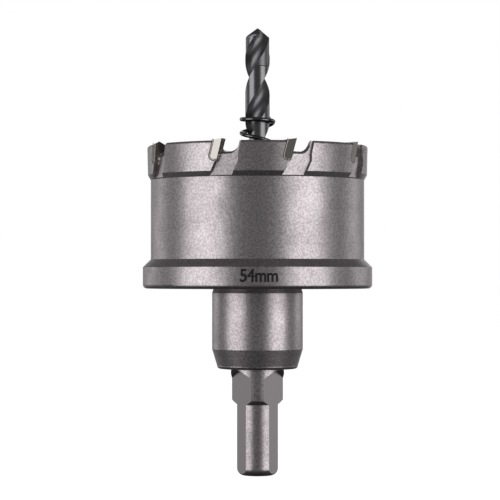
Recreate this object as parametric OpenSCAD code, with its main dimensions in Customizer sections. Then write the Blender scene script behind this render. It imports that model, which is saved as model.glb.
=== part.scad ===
// Carbide-tipped hole saw: a thick-headed steel cup with eight brazed tips, on an arbor
// with a three-flat shank, with its pilot drill, ejector spring and grub screw.
// Sizes are in millimetres. The origin is the middle of the shank's end face, +Z runs up
// the axis to the point of the pilot drill, and the front is -Y.

/* [Cutter cup] */
// Diameter of the hole that the tips cut
cut_d = 54; // [50:0.5:66]
// Height of the cup, from the underside of the flange to the rim
cup_h = 34.7; // [31:0.1:45]
// Thickness of the thin wall
wall_t = 1.15; // [1:0.05:1.5]
// Height of the thick head, from its foot to the rim
head_h = 8.35; // [8:0.05:11]
// Height of the cone at the foot of the head
head_cone_h = 1.25; // [0.6:0.05:2]
// How far the head stays inside the cutting circle
head_gap = 0.1; // [0.05:0.05:0.3]
// How much narrower the head is at its foot than at the rim
head_taper = 0.15; // [0.05:0.05:0.3]
// Rounding of the rim's outer edge
rim_round = 0.7; // [0.3:0.1:0.9]
// Bevel of the rim's inner edge
rim_bevel = 0.5; // [0.2:0.1:0.8]
// How far the flange stands out past the cutting circle, to stop the saw on the work
flange_over = 1; // [0.5:0.1:4]
// Height of the flange's upright edge
flange_h = 5.2; // [3:0.05:6]
// Height of the cone from the flange up to the wall
flange_cone_h = 1.9; // [1:0.1:3]
// Rounding of the flange's lower edge
flange_round = 1; // [0.3:0.1:1.2]
// Thickness of the cup's floor
floor_t = 6.5; // [5:0.1:9]
// Rounding inside, where the floor meets the wall
floor_round = 1.2; // [0.5:0.1:2]

/* [Carbide tips] */
// Radial width of a tip, which is the width of the groove it cuts
kerf_w = 3.05; // [2.8:0.05:3.4]
// Thickness of a tip, square to its cutting face
tip_t = 2.1; // [1.6:0.05:2.4]
// Height of a tip, from its cutting edge to its round foot
tip_h = 5.2; // [4.6:0.1:6]
// How far the cutting edges stand above the rim
tip_rise = 0.55; // [0.3:0.05:0.9]
// Forward lean of the cutting face, in degrees
rake = 15; // [8:1:18]
// Fall of a tip's top behind its cutting edge, in degrees
top_relief = 7; // [3:1:12]
// Turn-in of a tip's outer face behind its cutting edge, in degrees
side_relief = 10; // [2:1:11]
// Turn-in of a tip's inner face behind its cutting edge, in degrees
inner_relief = 3; // [1:1:5]
// Roof-topped tips come once in this many: they lead the cut, and the flat tops clean it
roof_every = 4; // [1:1:8]
// How much lower a flat-topped tip stands than a roof-topped one
flat_drop = 0.1; // [0.05:0.05:0.3]
// Distance of a roof's peak from the tip's outer corner
peak_in = 0.9; // [0.3:0.1:1.2]
// Slope of a roof from the peak down to the outer corner, in degrees
outer_slope = 26; // [10:1:45]
// Slope of a roof from the peak down to the inner corner, in degrees
inner_slope = 25; // [10:1:35]
// Angle of the first tip's cutting edge, from the front
first_tip = -64; // [-70:1:-60]
// Steps in degrees from tip to tip, taken twice: unequal, so that the saw doesn't chatter
tip_steps = [46, 38, 43, 53];

/* [Chip gullets] */
// Width of a gullet, from the foot of the cutting face to its far wall
gullet_w = 4.85; // [4.4:0.05:5.2]
// Rounding of a gullet's corner between its floor and its far wall
gullet_r = 2.45; // [1.7:0.05:2.8]
// Depth of a gullet below the rim, on its outer side
gullet_depth = 3.15; // [2.8:0.05:4]
// Outward lean of a gullet's far wall, in degrees
gullet_flare = 12; // [2:1:20]
// Fall of a gullet's floor towards the outside, in degrees
gullet_fall = 33; // [10:1:40]
// Width of the chip groove that leads down the outside of the head
groove_w = 5.6; // [4.5:0.1:6]
// Backward lean of the chip groove, in degrees
groove_lean = 26; // [15:1:32]
// Height on which the chip groove starts to lean, below the rim
groove_bend = 4.75; // [4:0.05:5.5]
// How far the chip groove bites into the thin wall
groove_bite = 0.3; // [0.15:0.05:0.4]

/* [Arbor] */
// Diameter of the shank
shank_d = 10; // [9.5:0.1:11.5]
// Length of the shank below its collar
shank_h = 18.35; // [16:0.05:30]
// Depth of each of the three chuck flats
flat_depth = 0.5; // [0.35:0.05:0.8]
// Radius of the mill that cuts the flats, seen where they end
flat_mill_r = 6; // [5.5:0.1:8]
// Distance from the end of the flats up to the hub
flat_stop = 0.1; // [0.1:0.1:2]
// Rounding of the shank's end
end_round = 1.8; // [1:0.1:2.5]
// Diameter of the collar
collar_d = 13; // [12:0.1:15]
// Length of the collar
collar_h = 7.65; // [7:0.05:12]
// Height of the cone under the collar
collar_cone_h = 1.05; // [0.8:0.05:1.5]
// Diameter of the hub
hub_d = 22.2; // [20:0.1:26]
// Length of the hub
hub_h = 19.55; // [18.5:0.05:26]
// Diameter of the hub at its lower end
hub_foot_d = 19.8; // [17:0.1:20]
// Height of the cone at the hub's lower end
hub_cone_h = 4.8; // [2:0.1:6]
// Rounding of the hub's lower edge
hub_round = 0.8; // [0.2:0.05:1]
// How far the hub draws in at its upper edge, under the flange
hub_bevel = 0.35; // [0.1:0.05:0.6]
// Height over which the hub draws in there
hub_bevel_h = 1.1; // [0.3:0.05:1.5]
// Diameter of the spigot that is pressed into the cup's floor
spigot_d = 16; // [14:0.1:18]
// How far the spigot stands out above the cup's floor
spigot_over = 1; // [0.5:0.1:2]
// Bevel round the spigot's upper edge
spigot_bevel = 0.4; // [0.2:0.1:0.6]

/* [Pilot drill] */
// Diameter of the pilot drill
drill_d = 6; // [5:0.1:6.5]
// Length of the pilot drill
drill_len = 79.75; // [72:0.25:100]
// Depth of the drill's socket below the flange's underside
socket_depth = 16.05; // [12:0.05:17]
// Clearance all round between the drill and its socket
socket_gap = 0.05; // [0.02:0.01:0.1]
// Point angle, in degrees
point_angle = 118; // [110:1:140]
// Length of the flutes, their run-out included
flute_len = 50; // [40:1:55]
// Length along the drill in which a flute makes one turn
flute_lead = 29; // [22:0.5:38]
// Angle of one land between two flutes, in degrees
land_angle = 82; // [70:1:92]
// Thickness of the web between the flutes
web_t = 1.8; // [1.4:0.1:2.2]
// Width of the margin along a land, in degrees
margin_angle = 10; // [6:1:16]
// Depth of the relieved land behind the margin
land_relief = 0.12; // [0.05:0.01:0.2]
// How much less the fluted part's radius is at its foot than at the point
back_taper = 0.02; // [0.01:0.01:0.05]
// Length of the relieved land, from the point
land_relief_len = 9.5; // [6:0.5:20]
// Fall of the point behind its lips, in degrees
lip_relief = 5; // [3:1:14]
// Angle round the drill at which a land's middle stands at the point, from the front
land_start = 150; // [0:1:360]
// Depth of the flat that the grub screw presses on
screw_flat = 0.4; // [0.2:0.1:0.6]

/* [Ejector spring] */
// Diameter of the spring's wire
wire_d = 1.05; // [0.8:0.05:1.3]
// Clearance all round between the spring and the drill
spring_gap = 0.35; // [0.25:0.05:0.8]
// Free length of the spring
spring_len = 34.8; // [30:0.1:45]
// Rise of the spring in one open turn
spring_pitch = 5.6; // [3:0.1:7]
// How much of a turn lies closed at each end of the spring
closed_turn = 0.88; // [0.8:0.01:1]
// Angle of the spring's upper end, from the front
spring_end = 130; // [0:1:360]

/* [Grub screw] */
// Thread diameter of the grub screw
screw_d = 5; // [4:0.1:6]
// Length of the grub screw
screw_len = 8; // [6:0.5:8.5]
// Clearance all round between the screw and its hole
screw_gap = 0.03; // [0.02:0.01:0.1]
// Width across the flats of the screw's key socket
key_w = 2.5; // [2:0.1:2.6]
// Depth of the key socket
key_depth = 2.5; // [1.5:0.1:3]
// Bevel at both ends of the screw
screw_bevel = 0.6; // [0.3:0.1:1]
// Distance from the screw up to the flange's underside
screw_drop = 5.85; // [4:0.05:7]
// Angle of the screw, from the front
screw_angle = -98.5; // [-180:0.5:180]

/* [Hidden] */
$fn = 96;
// Overlap that keeps cuts clean
over = 1;

cut_r = cut_d / 2;
tip_in_r = cut_r - kerf_w;
// The wall runs down the middle of the kerf
wall_in_r = cut_r - (kerf_w + wall_t) / 2;
wall_r = wall_in_r + wall_t;
head_r = cut_r - head_gap;
flange_r = cut_r + flange_over;

// Levels of the arbor and the cup, from the shank's end
hub_z = shank_h + collar_h;
cup_z = hub_z + hub_h;
rim_z = cup_z + cup_h;
head_z = rim_z - head_h;
edge_z = rim_z + tip_rise;
spigot_z = cup_z + floor_t + spigot_over;

// Where each tip's cutting edge stands, as an angle round the axis
tip_count = 8;
function step_sum(i) = i == 0 ? 0 : step_sum(i - 1) + tip_steps[(i - 1) % len(tip_steps)];
function tip_angle(i) = first_tip - 90 + step_sum(i);

// The leaning cutting face, as a line in the plane of tangent and height
function face_y(z) = (z - edge_z) * tan(rake);

// Length of a tip's straight part, above its round foot, and the height at which it ends
slab_len = (tip_h - tip_t / 2 * (1 - sin(rake))) / cos(rake);
slab_z = edge_z - slab_len * cos(rake);
// How far the gullet laps the seat behind the cutting face, so that no skin is left between them
seat_lap = tip_t / 4;

// The gullet's floor runs from the cutting face to its far wall, and starts at the chip groove
gullet_z = rim_z - gullet_depth;
gullet_far_y = face_y(gullet_z) + gullet_w;
groove_x = wall_r - groove_bite;

// Chuck flats, at these angles round the axis
flat_angles = [90, 210, 330];
flat_x = shank_d / 2 - flat_depth;
flat_top_z = hub_z - flat_stop;

drill_r = drill_d / 2;
drill_z = cup_z - socket_depth;
point_z = drill_z + drill_len;
flute_z = point_z - flute_len;
screw_z = cup_z - screw_drop;
screw_in_x = drill_r - screw_flat;

spring_r = drill_r + spring_gap + wire_d / 2;

// Lays a profile of tangent and height across the wall, from one radius to another
module across_wall(from, to) {
    translate([from, 0, 0])
        rotate([90, 0, 90])
            linear_extrude(to - from)
                children();
}

// What is left outside a round corner, to cut from a square one
module corner_waste(r) {
    difference() {
        square(r + over);
        circle(r);
    }
}

// Outline of a tip seen from outside: a leaning slab with a round foot
module tip_outline() {
    translate([0, edge_z])
        rotate(-rake) {
            translate([-tip_t, -slab_len])
                square([tip_t, slab_len + over]);
            translate([-tip_t / 2, -slab_len])
                circle(tip_t / 2);
        }
}

// Half section of the cup, turned about the axis
module cup_section() {
    difference() {
        union() {
            square([flange_r, flange_h]);
            polygon([
                [0, flange_h],
                [flange_r, flange_h],
                [wall_r, flange_h + flange_cone_h],
                [0, flange_h + flange_cone_h]
            ]);
            square([wall_r, cup_h - over]);
            polygon([
                [0, cup_h - head_h],
                [wall_r, cup_h - head_h],
                [head_r - head_taper, cup_h - head_h + head_cone_h],
                [head_r, cup_h - rim_round],
                [head_r, cup_h],
                [0, cup_h]
            ]);
        }
        translate([head_r - rim_round, cup_h - rim_round])
            corner_waste(rim_round);
        translate([flange_r - flange_round, flange_round])
            mirror([0, 1])
                corner_waste(flange_round);
        difference() {
            translate([0, floor_t])
                square([wall_in_r, cup_h]);
            translate([wall_in_r - floor_round, floor_t + floor_round])
                mirror([0, 1])
                    corner_waste(floor_round);
        }
        translate([wall_in_r, cup_h])
            polygon([[-over, over], [-over, -rim_bevel - over], [0, -rim_bevel], [rim_bevel, 0], [rim_bevel, over]]);
        translate([0, -over])
            square([spigot_d / 2, floor_t + 2 * over]);
    }
}

// Profile of a gullet above its floor, square to the floor: a flat, a round corner and a leaning wall
module gullet_profile() {
    corner_y = gullet_far_y - gullet_r;
    wall_foot_y = corner_y + gullet_r * cos(gullet_flare);
    wall_foot_z = gullet_r * (1 - sin(gullet_flare));
    top_z = 2 * head_h;
    translate([corner_y, gullet_r])
        circle(gullet_r);
    polygon([
        [-2 * tip_h, 0],
        [corner_y, 0],
        [wall_foot_y, wall_foot_z],
        [wall_foot_y + (top_z - wall_foot_z) * tan(gullet_flare), top_z],
        [-2 * tip_h, top_z]
    ]);
}

// Opening through the wall ahead of a tip's cutting face, its floor falling outwards
module gullet() {
    top_z = edge_z + over;
    low_z = rim_z - head_h;
    intersection() {
        translate([groove_x, 0, gullet_z])
            rotate([0, gullet_fall, 0])
                across_wall(-2 * kerf_w, 2 * kerf_w)
                    gullet_profile();
        across_wall(wall_in_r - 2 * over, cut_r + over)
            polygon([
                [face_y(low_z), low_z],
                [2 * gullet_w, low_z],
                [2 * gullet_w, top_z],
                [face_y(top_z) - seat_lap, top_z],
                [face_y(slab_z) - seat_lap, slab_z],
                [face_y(slab_z), slab_z]
            ]);
    }
}

// Chip groove down the outside of the head: it leans back and runs out on the thin wall
module chip_groove() {
    bend_z = rim_z - groove_bend;
    foot_z = head_z - over;
    lean_y = (bend_z - foot_z) * tan(groove_lean);
    top_z = edge_z + over;
    back_y = gullet_far_y - groove_w;
    intersection() {
        across_wall(groove_x, flange_r)
            polygon([
                [back_y - lean_y, foot_z],
                [gullet_far_y - lean_y, foot_z],
                [gullet_far_y, bend_z],
                [gullet_far_y, gullet_z],
                [gullet_far_y + (top_z - gullet_z) * tan(gullet_flare), top_z],
                [face_y(top_z), top_z],
                [face_y(bend_z), bend_z],
                [back_y, bend_z]
            ]);
        rotate([90, 0, 0])
            linear_extrude(6 * groove_w, center = true)
                polygon([
                    [groove_x - over, top_z],
                    [groove_x - over, head_z + groove_bite + over],
                    [flange_r, head_z + groove_bite - (flange_r - groove_x)],
                    [flange_r, top_z]
                ]);
    }
}

module cutter_cup() {
    color("#a79fa1")
        difference() {
            translate([0, 0, cup_z])
                rotate_extrude()
                    cup_section();
            for (i = [0:tip_count - 1])
                rotate([0, 0, tip_angle(i)]) {
                    across_wall(tip_in_r - over, flange_r)
                        tip_outline();
                    gullet();
                    chip_groove();
                }
        }
}

// Plan of a tip: both sides turn in behind the cutting edge
module tip_plan() {
    back_y = -tip_h;
    polygon([
        [tip_in_r - over * tan(inner_relief), over],
        [cut_r + over * tan(side_relief), over],
        [cut_r + back_y * tan(side_relief), back_y],
        [tip_in_r - back_y * tan(inner_relief), back_y]
    ]);
}

// Everything below the top of a tip, which is a roof or, a little lower, flat
module tip_top(roofed) {
    peak_x = cut_r - peak_in;
    outer_x = cut_r + over;
    inner_x = tip_in_r - over;
    polygon([
        [inner_x, -2 * tip_h],
        [outer_x, -2 * tip_h],
        [outer_x, roofed ? -(outer_x - peak_x) * tan(outer_slope) : -flat_drop],
        [peak_x, roofed ? 0 : -flat_drop],
        [inner_x, roofed ? -(peak_x - inner_x) * tan(inner_slope) : -flat_drop]
    ]);
}

// Carbide tip, brazed into its seat behind the gullet
module tooth(i) {
    color("#d8d4ca")
        rotate([0, 0, tip_angle(i)])
            intersection() {
                across_wall(tip_in_r - over, cut_r + over)
                    tip_outline();
                translate([0, 0, edge_z - 2 * tip_h])
                    linear_extrude(3 * tip_h)
                        tip_plan();
                translate([0, 0, edge_z])
                    rotate([top_relief, 0, 0])
                        translate([0, over, 0])
                            rotate([90, 0, 0])
                                linear_extrude(2 * tip_h)
                                    tip_top(i % roof_every == 0);
            }
}

// Half section of the arbor: shank, collar, hub and the spigot that enters the cup
module arbor_section() {
    shank_r = shank_d / 2;
    collar_r = collar_d / 2;
    hub_r = hub_d / 2;
    hub_foot_r = hub_foot_d / 2;
    spigot_r = spigot_d / 2;
    difference() {
        square([shank_r, shank_h]);
        translate([shank_r - end_round, end_round])
            mirror([0, 1])
                corner_waste(end_round);
    }
    polygon([
        [0, shank_h - collar_cone_h],
        [shank_r, shank_h - collar_cone_h],
        [collar_r, shank_h],
        [collar_r, hub_z + over],
        [0, hub_z + over]
    ]);
    translate([hub_foot_r - hub_round, hub_z + hub_round])
        circle(hub_round);
    polygon([
        [0, hub_z],
        [hub_foot_r - hub_round, hub_z],
        [hub_foot_r - hub_round, hub_z + hub_round],
        [hub_foot_r, hub_z + hub_round],
        [hub_r, hub_z + hub_cone_h],
        [hub_r, cup_z - hub_bevel_h],
        [hub_r - hub_bevel, cup_z],
        [spigot_r, cup_z],
        [spigot_r, spigot_z - spigot_bevel],
        [spigot_r - spigot_bevel, spigot_z],
        [0, spigot_z]
    ]);
}

// One chuck flat, with the round end that the mill leaves on the collar
module chuck_flat() {
    mill_z = flat_top_z - flat_mill_r;
    translate([flat_x, -collar_d, -over])
        cube([collar_d, 2 * collar_d, mill_z + over]);
    translate([flat_x, 0, mill_z])
        rotate([0, 90, 0])
            cylinder(h = collar_d, r = flat_mill_r);
}

module arbor() {
    color("#9f9799")
        difference() {
            rotate_extrude()
                arbor_section();
            for (a = flat_angles)
                rotate([0, 0, a])
                    chuck_flat();
            translate([0, 0, drill_z])
                cylinder(h = spigot_z - drill_z + over, r = drill_r + socket_gap);
            rotate([0, 0, screw_angle - 90])
                translate([0, 0, screw_z])
                    rotate([0, 90, 0])
                        cylinder(h = hub_d, r = screw_d / 2 + screw_gap);
        }
}

// Fluted part of the drill: rings of points up the helix, closed by the ground point
land_half = land_angle / 2;
flute_half = 90 - land_half;
// Circle that hollows the flute: it meets both land edges and touches the web
flute_edge_x = drill_r * cos(flute_half);
flute_edge_y = drill_r * sin(flute_half);
flute_sag = flute_edge_x - web_t / 2;
flute_r = (flute_edge_y * flute_edge_y + flute_sag * flute_sag) / (2 * flute_sag);
flute_x = web_t / 2 + flute_r;
// Angles of one half section, from a land's heel past its margin and across the flute ahead of it
land_angles = [
    for (i = [0:5]) -land_half + i * (land_angle - margin_angle - 0.5) / 5,
    land_half - margin_angle,
    land_half
];
flute_angles = [for (i = [1:11]) land_half + i * flute_half / 6];
half_angles = concat(land_angles, flute_angles);
section_angles = concat(half_angles, [for (a = half_angles) a + 180]);
// Heights of the rings: the flutes fade out over the lowest ones
point_half = point_angle / 2;
point_h = drill_r / tan(point_half);
heel_fall = drill_r * land_angle * PI / 180 * tan(lip_relief);
ring_count = 52;
last_ring_z = point_z - point_h - heel_fall - 0.2;
ring_zs = [for (i = [0:ring_count]) flute_z + (last_ring_z - flute_z) * i / ring_count];
run_out = 9;
// The fluted part starts this far inside the plain shank
root_z = flute_z - over / 2;

function turn_at(z) = land_start - 90 + 360 * (z - point_z) / flute_lead;
// Angle from the nearer land's middle, between -90 and 90 on each half
function folded(a) = a > 180 - land_half ? a - 180 : a;
function fade(z) = max(0, 1 - (z - flute_z) / run_out);
function body_r(z) = drill_r - back_taper * (point_z - z) / flute_len;
function flute_depth_r(a, z) =
    let (
        off = folded(a) - 90,
        far = flute_x + fade(z) * fade(z) * (drill_r - web_t / 2),
        reach = flute_r * flute_r - pow(far * sin(off), 2)
    )
    reach > 0 ? far * cos(off) - sqrt(reach) : drill_r;
function is_relieved(a, z) = folded(a) < land_half - margin_angle - 0.1 && z > point_z - land_relief_len;
function land_r(a, z) = body_r(z) - (is_relieved(a, z) ? land_relief : 0);
function section_r(a, z) = folded(a) <= land_half ? land_r(a, z) : min(body_r(z), flute_depth_r(a, z));
// Fall of the point behind the lip: none along the lip itself
function lip_fall(a, r) =
    let (
        on_land = folded(a) <= land_half,
        behind = on_land ? land_half - folded(a) : land_half + 180 - folded(a),
        share = on_land ? 1 : min(1, max(0, (folded(a) - 95) / 20))
    )
    share * r * behind * PI / 180 * tan(lip_relief);
function ring_point(a, r, z) = [r * cos(a + turn_at(z)), r * sin(a + turn_at(z)), z];
function body_ring(z) = [for (a = section_angles) ring_point(a, section_r(a, z), z)];
function point_ring() = [
    for (a = section_angles)
        let (r = section_r(a, point_z))
            ring_point(a, r, point_z - r / tan(point_half) - lip_fall(a, r))
];

module fluted_part() {
    rings = concat([body_ring(root_z)], [for (z = ring_zs) body_ring(z)], [point_ring()]);
    n = len(section_angles);
    m = len(rings);
    points = concat([for (ring = rings) each ring], [[0, 0, root_z], [0, 0, point_z]]);
    sides = [
        for (k = [0:m - 2], j = [0:n - 1])
            let (next = (j + 1) % n)
                each [
                    [k * n + j, (k + 1) * n + next, k * n + next],
                    [k * n + j, (k + 1) * n + j, (k + 1) * n + next]
                ]
    ];
    foot = [for (j = [0:n - 1]) [m * n, j, (j + 1) % n]];
    tip = [for (j = [0:n - 1]) [m * n + 1, (m - 1) * n + (j + 1) % n, (m - 1) * n + j]];
    polyhedron(points = points, faces = concat(sides, foot, tip), convexity = 6);
}

module pilot_drill() {
    flat_h = screw_d + 2 * over;
    end_bevel = 0.5;
    color("#35363a") {
        difference() {
            translate([0, 0, drill_z])
                cylinder(h = flute_z - drill_z, r = drill_r);
            translate([0, 0, drill_z])
                difference() {
                    cylinder(h = end_bevel, r = drill_d);
                    cylinder(h = end_bevel, r1 = drill_r - end_bevel, r2 = drill_r);
                }
            rotate([0, 0, screw_angle - 90])
                translate([screw_in_x, -drill_d, screw_z - flat_h / 2])
                    cube([drill_d, 2 * drill_d, flat_h]);
        }
        fluted_part();
    }
}

// Spring: a wire swept along a left-hand coil, with a closed turn at each end
wire_r = wire_d / 2;
wire_sides = 10;
turn_rings = 18;
// Turns that are open, once the closed ends have taken a wire's thickness a turn
open_turns = (spring_len - wire_d - 2 * closed_turn * wire_d) / spring_pitch;
spring_turns = open_turns + 2 * closed_turn;
spring_rings = ceil(spring_turns * turn_rings);
spring_top_z = spigot_z + spring_len - wire_r;

function coil_drop(t) =
    min(t, closed_turn) * wire_d
    + max(0, min(t - closed_turn, open_turns)) * spring_pitch
    + max(0, t - closed_turn - open_turns) * wire_d;
function coil_angle(t) = spring_end - 90 + 360 * t;
function coil_at(t) = [
    spring_r * cos(coil_angle(t)),
    spring_r * sin(coil_angle(t)),
    spring_top_z - coil_drop(t)
];
// The wire's section is circumscribed, so that its flats lie at the wire's true radius
function wire_ring(t) =
    let (
        a = coil_angle(t),
        size = wire_r / cos(180 / wire_sides)
    )
    [
        for (k = [0:wire_sides - 1])
            let (
                b = (k + 0.5) * 360 / wire_sides - 90,
                out = size * cos(b),
                up = size * sin(b)
            )
            coil_at(t) + [out * cos(a), out * sin(a), up]
    ];

module ejector_spring() {
    points = [for (k = [0:spring_rings]) each wire_ring(spring_turns * k / spring_rings)];
    n = wire_sides;
    sides = [
        for (k = [0:spring_rings - 1], j = [0:n - 1])
            let (next = (j + 1) % n)
                each [
                    [k * n + j, (k + 1) * n + next, k * n + next],
                    [k * n + j, (k + 1) * n + j, (k + 1) * n + next]
                ]
    ];
    first = [[for (j = [0:n - 1]) j]];
    last = [[for (j = [n - 1:-1:0]) spring_rings * n + j]];
    color("#2b2c2f")
        polyhedron(points = points, faces = concat(sides, first, last), convexity = 12);
}

// Grub screw: bevelled at both ends, with a key socket, its tip on the drill's flat
module grub_screw() {
    screw_r = screw_d / 2;
    color("#3c3b3d")
        rotate([0, 0, screw_angle - 90])
            translate([screw_in_x, 0, screw_z])
                rotate([0, 90, 0])
                    difference() {
                        union() {
                            cylinder(h = screw_bevel, r1 = screw_r - screw_bevel, r2 = screw_r);
                            translate([0, 0, screw_bevel])
                                cylinder(h = screw_len - 2 * screw_bevel, r = screw_r);
                            translate([0, 0, screw_len - screw_bevel])
                                cylinder(h = screw_bevel, r1 = screw_r, r2 = screw_r - screw_bevel);
                        }
                        translate([0, 0, screw_len - key_depth])
                            cylinder(h = key_depth + over, d = key_w / cos(30), $fn = 6);
                    }
}

cutter_cup();
tooth(0);  // tooth_1
tooth(1);  // tooth_2
tooth(2);  // tooth_3
tooth(3);  // tooth_4
tooth(4);  // tooth_5
tooth(5);  // tooth_6
tooth(6);  // tooth_7
tooth(7);  // tooth_8
arbor();
pilot_drill();
ejector_spring();
grub_screw();
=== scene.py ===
# %% [markdown]
# # A carbide-tipped hole saw
#
# This lesson dresses a hole saw whose exact solids come from a CAD model: a steel cup with
# eight brazed carbide tips, an arbor with a three-flat shank, a black pilot drill and a black
# ejector spring. The solids of the cup, the tips, the arbor and the grub screw are kept as
# they are and only get finishes. The drill and the spring are made again with finer meshes,
# because their twisted faces show facets in a glossy finish. The braze and the size mark are
# added, since they are too thin to belong in the solids.

# %% Load the solids
import math
import random

import bmesh
import bpy
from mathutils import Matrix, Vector


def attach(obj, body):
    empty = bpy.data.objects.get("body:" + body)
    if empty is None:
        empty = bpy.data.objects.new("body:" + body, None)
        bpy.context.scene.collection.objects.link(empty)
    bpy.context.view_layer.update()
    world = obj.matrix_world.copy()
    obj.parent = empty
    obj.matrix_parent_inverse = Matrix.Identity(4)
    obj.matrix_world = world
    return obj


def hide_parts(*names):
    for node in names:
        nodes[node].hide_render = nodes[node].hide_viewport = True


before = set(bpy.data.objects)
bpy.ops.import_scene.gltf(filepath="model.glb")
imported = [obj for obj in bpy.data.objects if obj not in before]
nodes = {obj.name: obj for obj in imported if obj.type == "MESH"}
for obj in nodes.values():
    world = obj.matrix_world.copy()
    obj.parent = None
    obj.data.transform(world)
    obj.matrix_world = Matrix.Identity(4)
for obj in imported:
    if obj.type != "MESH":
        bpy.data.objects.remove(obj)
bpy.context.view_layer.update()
print("nodes:", ", ".join(sorted(nodes)))

# %% [markdown]
# ## Units and colours
#
# Blender works in metres and the workshop in millimetres, so every size below is written in
# millimetres and scaled once, when a mesh is made. Colours are written as the eye picks them
# on a screen, in sRGB hex, and one function turns them into the linear values that shaders
# work with.

# %% Units and colours
MM = 0.001


def from_hex(text):
    """Linear red, green, blue and alpha of an sRGB hex colour."""
    parts = [int(text[i:i + 2], 16) / 255 for i in (1, 3, 5)]
    linear = [c / 12.92 if c <= 0.04045 else ((c + 0.055) / 1.055) ** 2.4 for c in parts]
    return (*linear, 1.0)


def per_metre(size_mm):
    """Texture scale at which one cell of a pattern measures this many millimetres."""
    return 1 / (size_mm * MM)


print("mid grey #808080 is", round(from_hex("#808080")[0], 3), "in linear light")

# %% [markdown]
# ## Building node trees
#
# A finish is a small network of nodes. Writing each node in four or five lines hides the idea
# behind the typing, so one function adds a node, sets what it is given by the name of the
# socket or of the node's own setting, and links the sockets that feed it.

# %% One function for every node
def add_node(tree, kind, settings=None, links=None):
    """Adds a node. Keys are socket names or numbers, or else the node's own settings."""
    node = tree.nodes.new("ShaderNode" + kind)
    for key, value in (settings or {}).items():
        if isinstance(key, str) and key not in node.inputs:
            setattr(node, key, value)
        else:
            node.inputs[key].default_value = value
    for key, socket in (links or {}).items():
        tree.links.new(socket, node.inputs[key])
    return node


def new_material(name):
    """An empty material with its shader, and the place on the object in metres."""
    material = bpy.data.materials.new(name)
    material.use_nodes = True
    tree = material.node_tree
    shader = tree.nodes["Principled BSDF"]
    place = add_node(tree, "TexCoord").outputs["Object"]
    return material, tree, shader, place


# %% [markdown]
# ## Bead-blasted steel
#
# The cup and the arbor are turned from alloy steel and then blasted with fine glass beads.
# Each bead leaves a shallow pit, so the metal loses its mirror and scatters light in a broad,
# soft streak with a fine sparkle in it. Real pits are 0.05 to 0.1 mm wide, which is less than
# one pixel here, so they are drawn 0.4 mm wide, as coarse as they need to be to show. A metal
# has no diffuse colour, so the base colour is the tint of its reflection: a warm, slightly
# pink grey. The pits are bump, since they are far finer than any edge of the object.

# %% Bead-blasted steel
PIT_MM = 0.42
PIT_DEPTH_MM = 0.04
MOTTLE_MM = 7.0
MOTTLE_SHARE = 0.35
GLOSS_SWING = 0.035


def blasted_steel(name, light, dark, roughness):
    """Blasted metal: pitted bump, a speckled tint and slow, cloudy changes of both."""
    material, tree, shader, place = new_material(name)
    pits = add_node(
        tree, "TexNoise",
        {"Scale": per_metre(PIT_MM), "Detail": 2.0, "Roughness": 0.5},
        {"Vector": place},
    )
    mottle = add_node(
        tree, "TexNoise",
        {"Scale": per_metre(MOTTLE_MM), "Detail": 3.0, "Roughness": 0.55},
        {"Vector": place},
    )
    speckle = add_node(
        tree, "MapRange", {"From Min": 0.38, "From Max": 0.62}, {"Value": pits.outputs["Fac"]}
    )
    cloud = add_node(
        tree, "MapRange", {"From Min": 0.3, "From Max": 0.7}, {"Value": mottle.outputs["Fac"]}
    )
    share = add_node(
        tree, "Mix", {0: MOTTLE_SHARE}, {2: speckle.outputs["Result"], 3: cloud.outputs["Result"]}
    )
    tint = add_node(
        tree, "Mix",
        {"data_type": "RGBA", 6: from_hex(dark), 7: from_hex(light)},
        {0: share.outputs[0]},
    )
    satin = add_node(
        tree, "MapRange",
        {"To Min": roughness + GLOSS_SWING, "To Max": roughness - GLOSS_SWING},
        {"Value": cloud.outputs["Result"]},
    )
    bump = add_node(
        tree, "Bump",
        {"Strength": 0.45, "Distance": PIT_DEPTH_MM * MM},
        {"Height": pits.outputs["Fac"]},
    )
    tree.links.new(tint.outputs[2], shader.inputs["Base Color"])
    tree.links.new(satin.outputs["Result"], shader.inputs["Roughness"])
    tree.links.new(bump.outputs["Normal"], shader.inputs["Normal"])
    shader.inputs["Metallic"].default_value = 1.0
    return material, tree, shader, place


cup_steel, *_ = blasted_steel("blasted_cup_steel", "#DAD2D5", "#A49D9F", 0.36)
print("finish:", cup_steel.name)

# %% [markdown]
# ## The arbor's steel and its milled flats
#
# The arbor has the same blasted skin, but the three chuck flats are milled after blasting, so
# they are smooth and show no sparkle. They could be split off as faces with a material of
# their own. The CAD mesh has to stay as it is, so a mask finds them instead: a flat is where
# a point's distance from the axis, measured square to that flat, is exactly the flat's own.

# %% Arbor steel with milled flats
FLAT_DISTANCE_MM = 4.5
FLAT_SLACK_MM = 0.02
FLAT_ANGLES = (90, 210, 330)
FLAT_ROUGHNESS = 0.33
MILL_LINE_MM = 0.25
MILL_DEPTH_MM = 0.01
MILL_STRETCH = 0.12

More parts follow.
